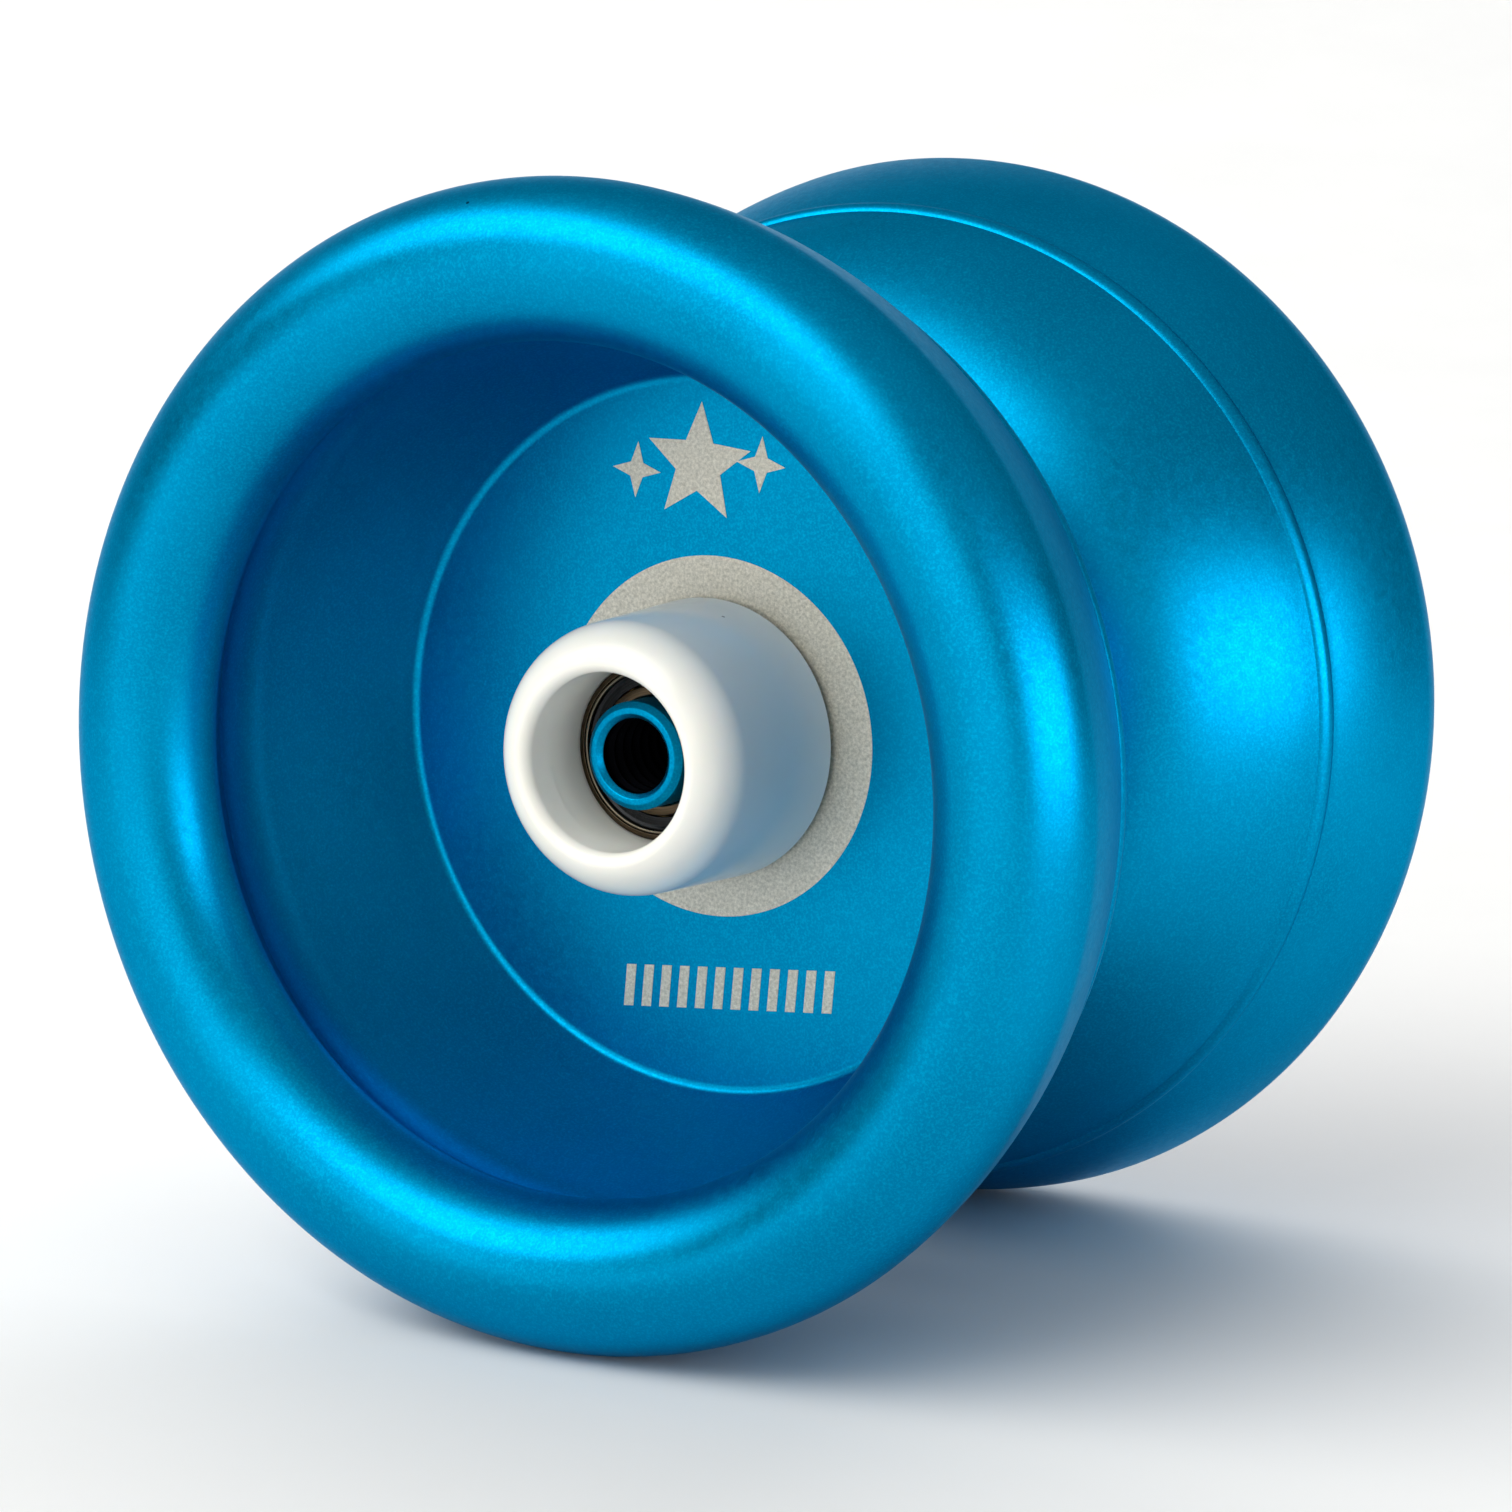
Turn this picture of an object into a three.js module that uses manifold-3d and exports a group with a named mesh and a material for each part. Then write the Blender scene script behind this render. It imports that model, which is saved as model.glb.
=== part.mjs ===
// Finger-spin yo yo: two turned aluminium halves on a ball bearing, each with a free hub stack.
// Millimetres. The spin axis is Y, the origin is at the centre, the front half is towards -Y, +Z is up.
// Each end is modelled facing +Y, with depths counted from the mid-plane between the halves.
import * as THREE from "three";
import { mergeVertices } from "three/addons/utils/BufferGeometryUtils.js";
import Module from "manifold-3d";

const wasm = await Module();
wasm.setup();

// Rim and ridge of a half.
const RIM_R = 25.0;
const RIM_DEPTH = 20.4;
const CREASE_DEPTH = 16.85;
const RIDGE_R = 22.93;
const RIDGE_DEPTH = 10.51;
const FLANK_BULGE = 0.3;
const LIP_R = 21.5;
// Inner side of the lip: arcs of these radii, each up to a direction in degrees from the radial one.
const LIP_ARCS = [[2.9, 120], [4.2, 135], [3.4, 172], [1.2, 195]];

// Catch zone, bearing seat and response groove.
const HALF_GAP = 2.1;
const CATCH_FLAT_R = 11.0;
const SEAT_R = 3.12;
const SEAT_END = 0.3;
const SHOULDER_R = 3.95;
const SHOULDER_DEPTH = 2.4;
const POCKET_R = 6.6;
const POCKET_DEPTH = 2.75;
const GROOVE_IN_R = 7.25;
const GROOVE_OUT_R = 9.55;
const GROOVE_DEPTH = 3.1;

// Cup behind the rim.
const UNDERCUT_R = 19.6;
const UNDERCUT_DEPTH = 14.9;
const CUP_FLOOR_R = 16.0;
const CUP_FLOOR_DEPTH = 4.75;
const UNDERCUT_BULGE = 0.25;
const CUP_EDGE_R = 19.45;
const CUP_EDGE_DEPTH = 12.05;
const CUP_BULGE = 0.27;
const CUP_FILLET = 0.3;

// Step and hub post that carry the stack bearing, and the tapped hole through them.
const POST_R = 2.345;
const POST_END = 11.5;
const POST_CHAMFER = 0.3;
const POST_HOLE_R = 1.65;
const STEP_R = 3.0;
const STEP_DEPTH = 6.4;
const THREAD_R = 2.12;
const THREAD_DEPTH = 6.2;

// Axle: M4 x 12 headless screw with a 2 mm hexagon socket.
const AXLE_R = 2.0;
const AXLE_LENGTH = 12.0;
const AXLE_CHAMFER = 0.4;
const SOCKET_FLATS = 2.0;
const SOCKET_DEPTH = 2.6;

// Response pad.
const PAD_IN_R = 7.36;
const PAD_OUT_R = 9.5;
const PAD_FACE = 2.13;
const PAD_BACK = 3.07;

// Hub stack shell.
const STACK_BASE_R = 6.27;
const STACK_BASE = 5.05;
const STACK_BASE_CHAMFER = 0.25;
const STACK_TOP_R = 5.99;
const STACK_ROUND = 2.2;
const STACK_ROUND_DEPTH = 11.85;
const STACK_CREST_R = 4.45;
const STACK_MOUTH_R = 3.9;
const STACK_POCKET_R = 4.01;
const STACK_POCKET_TOP = 9.63;
const STACK_POCKET_BOTTOM = 6.38;
const STACK_LIP_R = 3.55;

// Ball bearings of standard inch sizes: 1/4 x 1/2 x 3/16 in the middle, 3/16 x 5/16 x 1/8 in a stack.
const MAIN_BEARING = {
  boreR: 3.175,
  outR: 6.35,
  width: 4.7625,
  balls: 10,
  ballR: 0.794,
  pitchR: 4.7625,
  innerLandR: 4.25,
  outerLandR: 5.35,
  shieldSeatR: 5.75,
  shieldInR: 4.32,
  shieldThick: 0.2,
  clipInR: 5.4,
  cageWidth: 2.3,
  cageWall: 0.72,
};
const STACK_BEARING = {
  boreR: 2.381,
  outR: 3.969,
  width: 3.175,
  balls: 9,
  ballR: 0.5,
  pitchR: 3.175,
  innerLandR: 2.85,
  outerLandR: 3.5,
  shieldSeatR: 3.69,
  shieldInR: 2.93,
  shieldThick: 0.13,
  clipInR: 3.4,
  cageWidth: 1.52,
  cageWall: 0.42,
};
const STACK_BEARING_DEPTH = 8.0125;
const TRACK_CLEARANCE = 0.06;
const POCKET_CLEARANCE = 1.12;
const SHIELD_LEDGE = 0.395;
const SHIELD_CLEARANCE = 0.07;
const SHIELD_GAP = 0.02;
const CLIP_RECESS = 0.03;
const CLIP_OPENING = 0.5;

const HALF_FACETS = 40;
const SHELL_FACETS = 28;
const PAD_FACETS = 28;
const RACE_FACETS = 24;

const FINISHES = {
  anodised: { color: 0x0a8fc4, metalness: 0.9, roughness: 0.35 },
  plastic: { color: 0xf2f1ea, metalness: 0.0, roughness: 0.3 },
  race: { color: 0xb9bcc0, metalness: 1.0, roughness: 0.25 },
  ball: { color: 0xd5d8dc, metalness: 1.0, roughness: 0.1 },
  cage: { color: 0xb08d4a, metalness: 0.9, roughness: 0.4 },
  shield: { color: 0x9a9da1, metalness: 0.9, roughness: 0.45 },
  wire: { color: 0x5b5f66, metalness: 1.0, roughness: 0.35 },
  silicone: { color: 0xd9dcdc, metalness: 0.0, roughness: 0.8 },
  blackened: { color: 0x3c3f44, metalness: 1.0, roughness: 0.45 },
};

function piece(name, geometry, finish) {
  const mesh = new THREE.Mesh(geometry, new THREE.MeshStandardMaterial(FINISHES[finish]));
  mesh.name = name;
  return mesh;
}

// Points on an arc between two points that bulges by bulge: left of the way, or right if below 0.
function bow(from, to, bulge, steps) {
  const [r0, d0] = from;
  const [r1, d1] = to;
  const side = Math.sign(bulge);
  const rise = Math.abs(bulge);
  const chord = Math.hypot(r1 - r0, d1 - d0);
  const radius = (chord * chord) / (8 * rise) + rise / 2;
  const back = (side * (radius - rise)) / chord;
  const centre = [(r0 + r1) / 2 + (d1 - d0) * back, (d0 + d1) / 2 - (r1 - r0) * back];
  const start = Math.atan2(d0 - centre[1], r0 - centre[0]);
  const sweep = -2 * side * Math.asin(chord / (2 * radius));
  return arc(centre, radius, radius, start, start + sweep, steps);
}

// Points on a circle or ellipse from angle a0 to angle a1, in radians.
function arc(centre, rx, ry, a0, a1, steps) {
  const points = [];
  for (let i = 0; i <= steps; i += 1) {
    const a = a0 + ((a1 - a0) * i) / steps;
    points.push([centre[0] + rx * Math.cos(a), centre[1] + ry * Math.sin(a)]);
  }
  return points;
}

function ring(inner, outer, low, high) {
  return [
    [inner, low],
    [outer, low],
    [outer, high],
    [inner, high],
  ];
}

// A closed body of revolution about Y from a closed outline of [radius, y], with flats at +Z and -Z.
function turned(outline, facets) {
  const loop = outline.map(([r, y]) => new THREE.Vector2(r, y));
  if (THREE.ShapeUtils.area(loop) < 0) loop.reverse();
  loop.push(loop[0].clone());
  return new THREE.LatheGeometry(loop, facets, Math.PI / facets);
}

function solidOf(geometry) {
  geometry.deleteAttribute("normal");
  geometry.deleteAttribute("uv");
  const merged = mergeVertices(geometry, 1e-4);
  const vertProperties = merged.attributes.position.array;
  const triVerts = new Uint32Array(merged.index.array);
  return new wasm.Manifold(new wasm.Mesh({ numProp: 3, vertProperties, triVerts }));
}

function geometryOf(solid) {
  const mesh = solid.getMesh();
  const geometry = new THREE.BufferGeometry();
  geometry.setAttribute("position", new THREE.BufferAttribute(mesh.vertProperties, 3));
  geometry.setIndex(new THREE.BufferAttribute(mesh.triVerts, 1));
  return geometry;
}

// Bearing seat, pocket and response groove: the side of a half that faces the string.
function seatOutline() {
  return [
    [THREAD_R, SEAT_END],
    [SEAT_R, SEAT_END],
    [SEAT_R, SHOULDER_DEPTH],
    [SHOULDER_R, SHOULDER_DEPTH],
    [SHOULDER_R, POCKET_DEPTH],
    [POCKET_R, POCKET_DEPTH],
    [POCKET_R, HALF_GAP],
    [GROOVE_IN_R, HALF_GAP],
    [GROOVE_IN_R, GROOVE_DEPTH],
    [GROOVE_OUT_R, GROOVE_DEPTH],
    [GROOVE_OUT_R, HALF_GAP],
  ];
}

// An arc that leaves start square to the axis and ends at end.
function flatToArc(start, end, steps) {
  const dr = end[0] - start[0];
  const dy = end[1] - start[1];
  const radius = (dr * dr + dy * dy) / (2 * dy);
  const sweep = 2 * Math.atan2(dy, dr);
  return arc([start[0], start[1] + radius], radius, radius, -Math.PI / 2, sweep - Math.PI / 2, steps);
}

// Arcs that run on smoothly into each other from the top of the lip to its inner edge.
function lipInside() {
  const points = [[LIP_R, RIM_DEPTH]];
  let from = Math.PI / 2;
  for (const [radius, degrees] of LIP_ARCS) {
    const [r, y] = points[points.length - 1];
    const centre = [r - radius * Math.cos(from), y - radius * Math.sin(from)];
    const to = degrees * Math.PI / 180;
    points.push(...arc(centre, radius, radius, from, to, 2).slice(1));
    from = to;
  }
  return points;
}

// Catch zone, ridge, flank and rounded lip: the outside of a half.
function rimOutline() {
  const quarter = Math.PI / 2;
  const ridge = [RIDGE_R, RIDGE_DEPTH];
  const crease = [RIM_R, CREASE_DEPTH];
  return [
    ...flatToArc([CATCH_FLAT_R, HALF_GAP], ridge, 6),
    ...bow(ridge, crease, -FLANK_BULGE, 3).slice(1),
    ...arc([LIP_R, CREASE_DEPTH], RIM_R - LIP_R, RIM_DEPTH - CREASE_DEPTH, 0, quarter, 4).slice(1),
    ...lipInside().slice(1),
  ];
}

// Inside of the cup: shallow hollow under the lip, dished wall, flat floor.
function cupOutline() {
  const under = [UNDERCUT_R, UNDERCUT_DEPTH];
  const edge = [CUP_EDGE_R, CUP_EDGE_DEPTH];
  const foot = [CUP_FLOOR_R + CUP_FILLET, CUP_FLOOR_DEPTH + CUP_FILLET];
  const hollow = bow(under, edge, UNDERCUT_BULGE, 2);
  return [...hollow, ...bow(edge, foot, CUP_BULGE, 3).slice(1), [CUP_FLOOR_R, CUP_FLOOR_DEPTH]];
}

function postOutline() {
  return [
    [STEP_R, CUP_FLOOR_DEPTH],
    [STEP_R, STEP_DEPTH],
    [POST_R, STEP_DEPTH],
    [POST_R, POST_END - POST_CHAMFER],
    [POST_R - POST_CHAMFER, POST_END],
    [POST_HOLE_R, POST_END],
    [POST_HOLE_R, THREAD_DEPTH],
    [THREAD_R, THREAD_DEPTH],
  ];
}

// A half's radii are those of its flats, so that it is 50 mm across them.
function halfBody(where) {
  const outline = [...seatOutline(), ...rimOutline(), ...cupOutline(), ...postOutline()];
  const toCorner = 1 / Math.cos(Math.PI / HALF_FACETS);
  const cornered = outline.map(([r, y]) => [r * toCorner, y]);
  return piece("half_" + where, turned(cornered, HALF_FACETS), "anodised");
}

function responsePad(where) {
  const outline = ring(PAD_IN_R, PAD_OUT_R, PAD_FACE, PAD_BACK);
  return piece("response_pad_" + where, turned(outline, PAD_FACETS), "silicone");
}

function stackShell(where) {
  const corner = [STACK_TOP_R - STACK_ROUND, STACK_ROUND_DEPTH];
  const stop = Math.acos((STACK_CREST_R - corner[0]) / STACK_ROUND);
  const outer = arc(corner, STACK_ROUND, STACK_ROUND, 0, stop, 4);
  const crest = outer[outer.length - 1][1];
  const roundR = STACK_CREST_R - STACK_MOUTH_R;
  const outline = [
    [STACK_BASE_R - STACK_BASE_CHAMFER, STACK_BASE],
    [STACK_BASE_R, STACK_BASE + STACK_BASE_CHAMFER],
    ...outer,
    ...arc([STACK_CREST_R, crest - roundR], roundR, roundR, Math.PI / 2, Math.PI, 2).slice(1),
    [STACK_MOUTH_R, STACK_POCKET_TOP],
    [STACK_POCKET_R, STACK_POCKET_TOP],
    [STACK_POCKET_R, STACK_POCKET_BOTTOM],
    [STACK_LIP_R, STACK_POCKET_BOTTOM],
    [STACK_LIP_R, STACK_BASE],
  ];
  return piece("stack_" + where + "_shell", turned(outline, SHELL_FACETS), "plastic");
}

// The screw lies along Y, its socket towards the front.
function axleScrew() {
  const end = AXLE_LENGTH / 2;
  const outline = [
    new THREE.Vector2(0, -end),
    new THREE.Vector2(AXLE_R - AXLE_CHAMFER, -end),
    new THREE.Vector2(AXLE_R, -end + AXLE_CHAMFER),
    new THREE.Vector2(AXLE_R, end - AXLE_CHAMFER),
    new THREE.Vector2(AXLE_R - AXLE_CHAMFER, end),
    new THREE.Vector2(0, end),
  ];
  const bar = solidOf(new THREE.LatheGeometry(outline, 16));
  const corner = SOCKET_FLATS / Math.sqrt(3);
  const socket = new THREE.CylinderGeometry(corner, corner, 2 * SOCKET_DEPTH, 6);
  socket.translate(0, -end, 0);
  return piece("axle_screw", geometryOf(bar.subtract(solidOf(socket))), "blackened");
}

// The ball track cut into a race, about the ball circle, from edge to edge of the race's land.
function trackOutline(b, towards, landR) {
  const trackR = b.ballR + TRACK_CLEARANCE;
  const reach = Math.acos(Math.abs(b.pitchR - landR) / trackR);
  const points = arc([0, 0], trackR, trackR, -reach, reach, 4);
  return points.map(([out, along]) => [b.pitchR + towards * out, along]);
}

function innerRaceOutline(b) {
  return [
    [b.boreR, -b.width / 2],
    [b.innerLandR, -b.width / 2],
    ...trackOutline(b, -1, b.innerLandR),
    [b.innerLandR, b.width / 2],
    [b.boreR, b.width / 2],
  ];
}

function outerRaceOutline(b) {
  const half = b.width / 2;
  const ledge = b.width * SHIELD_LEDGE;
  return [
    [b.outR, -half],
    [b.shieldSeatR, -half],
    [b.shieldSeatR, -ledge],
    [b.outerLandR, -ledge],
    ...trackOutline(b, 1, b.outerLandR),
    [b.outerLandR, ledge],
    [b.shieldSeatR, ledge],
    [b.shieldSeatR, half],
    [b.outR, half],
  ];
}

// Puts a piece on the bearing's ball circle by turning a group that holds it.
function onBallCircle(object, b, index) {
  const arm = new THREE.Group();
  object.position.z = b.pitchR;
  arm.add(object);
  arm.rotation.y = (2 * Math.PI * index) / b.balls;
  return arm;
}

function bearingBall(b, prefix, index) {
  const ball = piece(prefix + "_ball_" + (index + 1), new THREE.OctahedronGeometry(b.ballR, 1), "ball");
  return onBallCircle(ball, b, index);
}

// Band around the ball circle with a pocket through it for every ball.
function bearingCage(b, prefix) {
  const half = b.cageWall / 2;
  const outline = ring(b.pitchR - half, b.pitchR + half, -b.cageWidth / 2, b.cageWidth / 2);
  let band = solidOf(turned(outline, 2 * b.balls));
  for (let i = 0; i < b.balls; i += 1) {
    const pocketR = b.ballR * POCKET_CLEARANCE;
    const pocket = new THREE.CylinderGeometry(pocketR, pocketR, 3 * b.cageWall, 8);
    pocket.rotateX(Math.PI / 2);
    pocket.translate(0, 0, b.pitchR);
    pocket.rotateY((2 * Math.PI * i) / b.balls);
    band = band.subtract(solidOf(pocket));
  }
  return piece(prefix + "_cage", geometryOf(band), "cage");
}

function bearingShield(b, name) {
  const low = b.width * SHIELD_LEDGE + SHIELD_GAP;
  const outline = ring(b.shieldInR, b.shieldSeatR - SHIELD_CLEARANCE, low, low + b.shieldThick);
  return piece(name, turned(outline, RACE_FACETS), "shield");
}

// Open wire ring that holds a shield in its seat.
function bearingClip(b, name) {
  const low = b.width * SHIELD_LEDGE + b.shieldThick + 2 * SHIELD_GAP;
  const depth = b.width / 2 - CLIP_RECESS - low;
  const turn = 2 * Math.PI - CLIP_OPENING;
  const section = new THREE.Shape();
  section.absarc(0, 0, b.shieldSeatR - SHIELD_CLEARANCE, 0, turn, false);
  section.absarc(0, 0, b.clipInR, turn, 0, true);
  section.closePath();
  const wire = new THREE.ExtrudeGeometry(section, { depth, bevelEnabled: false, curveSegments: 10 });
  wire.rotateX(-Math.PI / 2);
  wire.translate(0, low, 0);
  return piece(name, wire, "wire");
}

// One end of a bearing: its shield and clip, turned round for the front end.
function bearingEnd(b, prefix, where) {
  const end = new THREE.Group();
  end.add(bearingShield(b, prefix + "_shield_" + where));
  end.add(bearingClip(b, prefix + "_clip_" + where));
  end.rotation.z = where === "front" ? Math.PI : 0;
  return end;
}

function bearing(b, prefix) {
  const group = new THREE.Group();
  group.add(piece(prefix + "_inner_race", turned(innerRaceOutline(b), RACE_FACETS), "race"));
  group.add(piece(prefix + "_outer_race", turned(outerRaceOutline(b), RACE_FACETS), "race"));
  group.add(bearingCage(b, prefix));
  for (let i = 0; i < b.balls; i += 1) group.add(bearingBall(b, prefix, i));
  group.add(bearingEnd(b, prefix, "front"));
  group.add(bearingEnd(b, prefix, "back"));
  return group;
}

// A half with its pad, and the hub stack on its post.
function yoyoEnd(where) {
  const end = new THREE.Group();
  const stackBearing = bearing(STACK_BEARING, "stack_" + where + "_bearing");
  stackBearing.position.y = STACK_BEARING_DEPTH;
  end.add(halfBody(where), responsePad(where), stackShell(where), stackBearing);
  end.rotation.z = where === "front" ? Math.PI : 0;
  return end;
}

const yoyo = new THREE.Group();
yoyo.name = "yo_yo";
yoyo.add(axleScrew(), bearing(MAIN_BEARING, "bearing"), yoyoEnd("front"), yoyoEnd("back"));

export default yoyo;
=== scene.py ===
import math

import bmesh
import bpy
from mathutils import Matrix, Vector


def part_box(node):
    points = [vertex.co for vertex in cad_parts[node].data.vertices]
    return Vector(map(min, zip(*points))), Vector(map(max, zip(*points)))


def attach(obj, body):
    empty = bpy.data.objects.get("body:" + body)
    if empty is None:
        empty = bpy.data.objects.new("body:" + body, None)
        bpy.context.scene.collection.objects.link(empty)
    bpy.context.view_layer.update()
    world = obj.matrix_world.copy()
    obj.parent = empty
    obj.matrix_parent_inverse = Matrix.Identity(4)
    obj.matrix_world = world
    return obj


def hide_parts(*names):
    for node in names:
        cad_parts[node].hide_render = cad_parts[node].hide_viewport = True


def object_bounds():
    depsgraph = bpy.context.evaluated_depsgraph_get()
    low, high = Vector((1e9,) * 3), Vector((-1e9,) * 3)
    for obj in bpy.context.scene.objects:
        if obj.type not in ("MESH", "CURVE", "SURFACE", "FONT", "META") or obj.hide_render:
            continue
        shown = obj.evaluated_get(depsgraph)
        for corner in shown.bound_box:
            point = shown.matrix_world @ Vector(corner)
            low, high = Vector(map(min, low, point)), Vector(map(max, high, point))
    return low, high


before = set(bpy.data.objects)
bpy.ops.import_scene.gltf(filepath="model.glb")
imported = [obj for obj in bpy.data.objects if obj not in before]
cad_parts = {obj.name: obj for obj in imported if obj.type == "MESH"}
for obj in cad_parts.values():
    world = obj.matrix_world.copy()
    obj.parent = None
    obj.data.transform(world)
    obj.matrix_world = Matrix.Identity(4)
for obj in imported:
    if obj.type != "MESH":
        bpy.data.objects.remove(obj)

CAD_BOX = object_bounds()
MM = 0.001
FRONT = -1
BACK = 1
SIDES = ((FRONT, "front"), (BACK, "back"))


def span(node):
    """Lowest and highest corner of a CAD node, in millimetres."""
    low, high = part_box(node)
    return [v / MM for v in low], [v / MM for v in high]


# ---------------------------------------------------------------- driving sizes

# Rim and ridge of a half.
RIM_R = span("half_front")[1][0]
RIM_DEPTH = span("half_back")[1][1]
CREASE_DEPTH = 16.85
RIDGE_R = 22.93
RIDGE_DEPTH = 10.51
FLANK_BULGE = 0.3
LIP_R = 21.5
# Inner side of the lip: arcs of these radii, each up to a direction in degrees from the radial one.
LIP_ARCS = ((2.9, 120), (4.2, 135), (3.4, 172), (1.2, 195))
# Bead along the ridge: radius, how far its centre lies inside and before the ridge, arc in degrees.
BEAD_R = 0.62
BEAD_IN = 0.471
BEAD_BEFORE = 0.066
BEAD_ARC = (-68, 22)

# Catch zone, bearing seat and response groove.
HALF_GAP = 2.1
CATCH_FLAT_R = 11.0
SEAT_R = 3.165
SEAT_END = 0.3
SHOULDER_R = 3.95
SHOULDER_DEPTH = 2.4
POCKET_R = 6.6
POCKET_DEPTH = 2.75
GROOVE_IN_R = 7.25
GROOVE_OUT_R = 9.55
GROOVE_DEPTH = 3.1
PAD_PLAY = 0.04

# Cup behind the rim.
UNDERCUT_R = 19.6
UNDERCUT_DEPTH = 14.9
CUP_FLOOR_R = 16.0
CUP_FLOOR_DEPTH = 4.75
UNDERCUT_BULGE = 0.25
CUP_EDGE_R = 19.45
CUP_EDGE_DEPTH = 12.05
CUP_BULGE = 0.27
CUP_FILLET = 0.5
CREST_FILLET = 0.3

# Etched disc and marks on the cup's floor. The lean is in degrees.
ETCHED_DISC_R = 8.07
MARK_LIFT = 0.004
MARK_THICKNESS = 0.012
MARK_LEAN = 4.0
STARS_AT = (-0.75, 12.1)
BARS_AT = (0.75, -11.3)

# Hub post with its step, and the tapped hole through them.
POST_R = 2.375
POST_END = 11.5
POST_HOLE_R = 1.65
STEP_R = 3.0
STEP_DEPTH = 6.4
THREAD_R = 2.0
THREAD_PITCH = 0.7
THREAD_PLAY = 0.12
THREAD_TOP = POST_END - 0.6
# Painted shade: within BORE_WALL of the hole, and deeper than BORE_MOUTH below the post's end, the bore
# is near black.
BORE_WALL = 0.5
BORE_MOUTH = 0.3

# Axle with a hexagon socket.
AXLE_LENGTH = span("axle_screw")[1][1] - span("axle_screw")[0][1]
AXLE_CHAMFER = 0.45
AXLE_GROOVE = 0.36
SOCKET_R = 1.0
SOCKET_DEPTH = 2.6

# Finger spinner. The taper is in degrees.
STACK_BASE_R = 6.27
STACK_BASE = span("stack_back_shell")[0][1]
STACK_TOP_R = 5.99
STACK_ROUND = 2.2
STACK_ROUND_DEPTH = 11.85
STACK_TAPER = 2
STACK_CREST_R = 4.45
STACK_MOUTH_R = 3.9
STACK_MOUTH_END = 12.0
STACK_MOUTH_STEP = 0.06
STACK_POCKET_R = 3.985
STACK_POCKET_TOP = 9.63
STACK_POCKET_BOTTOM = 6.38
STACK_LIP_R = 3.55
STACK_BEARING_DEPTH = 8.0125

# Ball bearings. These are radii, apart from the number of balls, the widths, and the thickness of
# the shields and of the cage's wall.
MAIN_BEARING = {
    "bore": 3.175, "out": 6.35, "width": 4.7625, "balls": 10, "ball": 0.794, "pitch": 4.7625,
    "inner_land": 4.25, "outer_land": 5.35, "seat": 5.75, "shield_in": 4.32, "shield": 0.2,
    "clip": 0.13, "cage_width": 2.3, "cage_wall": 0.72,
}
STACK_BEARING = {
    "bore": 2.381, "out": 3.969, "width": 3.175, "balls": 9, "ball": 0.5, "pitch": 3.175,
    "inner_land": 2.85, "outer_land": 3.5, "seat": 3.69, "shield_in": 2.93, "shield": 0.13,
    "clip": 0.08, "cage_width": 1.52, "cage_wall": 0.42,
}
# Where the shields sit, from the middle of the bearing, as a share of its width.
SHIELD_LEDGE = 0.395
# Play of the balls in their track and of the shields in their seat.
TRACK_PLAY = 0.02
SHIELD_PLAY = 0.02
# Size of a cage pocket over that of its ball.
POCKET_SIZE = 1.06

# Flats round a turned piece, and the bend in degrees from which an edge is shaded as sharp.
HALF_SEGMENTS = 288
STACK_SEGMENTS = 160
SMALL_SEGMENTS = 128
SHARP_BEND = 38

# Camera and setting, in degrees and metres; azimuth 0 is in front, at -Y.
CAMERA_AZIMUTH = 30.692
CAMERA_ELEVATION = 8.763
CAMERA_DISTANCE = 0.210593
CAMERA_LENS = 110.92
AIM_RIGHT = -0.000537
AIM_UP = -0.001477
FLOOR_WIDTH = 5.0
FLOOR_NEAR = -1.8
BEND_START = 0.3
BEND_RADIUS = 0.8
BACKDROP_HEIGHT = 1.8


# ---------------------------------------------------------------- outlines

def arc(centre, rx, ry, a0, a1, steps):
    """Points on a circle or ellipse from angle a0 to a1, in degrees."""
    points = []
    for i in range(steps + 1):
        a = math.radians(a0 + (a1 - a0) * i / steps)
        points.append((centre[0] + rx * math.cos(a), centre[1] + ry * math.sin(a)))
    return points


def bow(start, end, bulge, steps):
    """Points on an arc that bulges by bulge to the left of the way, or to the right if below 0."""
    side = 1 if bulge > 0 else -1
    rise = abs(bulge)
    dr = end[0] - start[0]
    dd = end[1] - start[1]
    chord = math.hypot(dr, dd)
    radius = chord * chord / (8 * rise) + rise / 2
    back = side * (radius - rise) / chord
    centre = ((start[0] + end[0]) / 2 + dd * back, (start[1] + end[1]) / 2 - dr * back)
    a0 = math.degrees(math.atan2(start[1] - centre[1], start[0] - centre[0]))
    sweep = -2 * side * math.degrees(math.asin(chord / (2 * radius)))
    return arc(centre, radius, radius, a0, a0 + sweep, steps)


def flat_to_arc(start, end, steps):
    """An arc that leaves start along the r axis and ends at end."""
    dr = end[0] - start[0]
    dd = end[1] - start[1]
    radius = (dr * dr + dd * dd) / (2 * dd)
    sweep = 2 * math.degrees(math.atan2(dd, dr))
    return arc((start[0], start[1] + radius), radius, radius, -90, sweep - 90, steps)


def fillet(corner, before, after, radius, steps=5):
    """The corner as a small arc between the two directions that meet there."""
    here = Vector(corner)
    to_before = (Vector(before) - here).normalized()
    to_after = (Vector(after) - here).normalized()
    angle = to_before.angle(to_after)
    reach = radius / math.tan(angle / 2)
    centre = here + (to_before + to_after).normalized() * (radius / math.sin(angle / 2))
    first = here + to_before * reach - centre
    last = here + to_after * reach - centre
    turn = first.angle_signed(last)
    points = []
    for i in range(steps + 1):
        spoke = first.copy()
        spoke.rotate(Matrix.Rotation(-turn * i / steps, 2))
        points.append(tuple(centre + spoke))
    return points


def rounded(corners, closed=False):
    """An outline from (r, depth) or (r, depth, fillet radius) corners."""
    points = []
    count = len(corners)
    for i, corner in enumerate(corners):
        inside = closed or 0 < i < count - 1
        if len(corner) == 2 or not inside:
            points.append(tuple(corner[:2]))
            continue
        before = corners[i - 1][:2]
        after = corners[(i + 1) % count][:2]
        points += fillet(corner[:2], before, after, corner[2])
    return points


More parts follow.
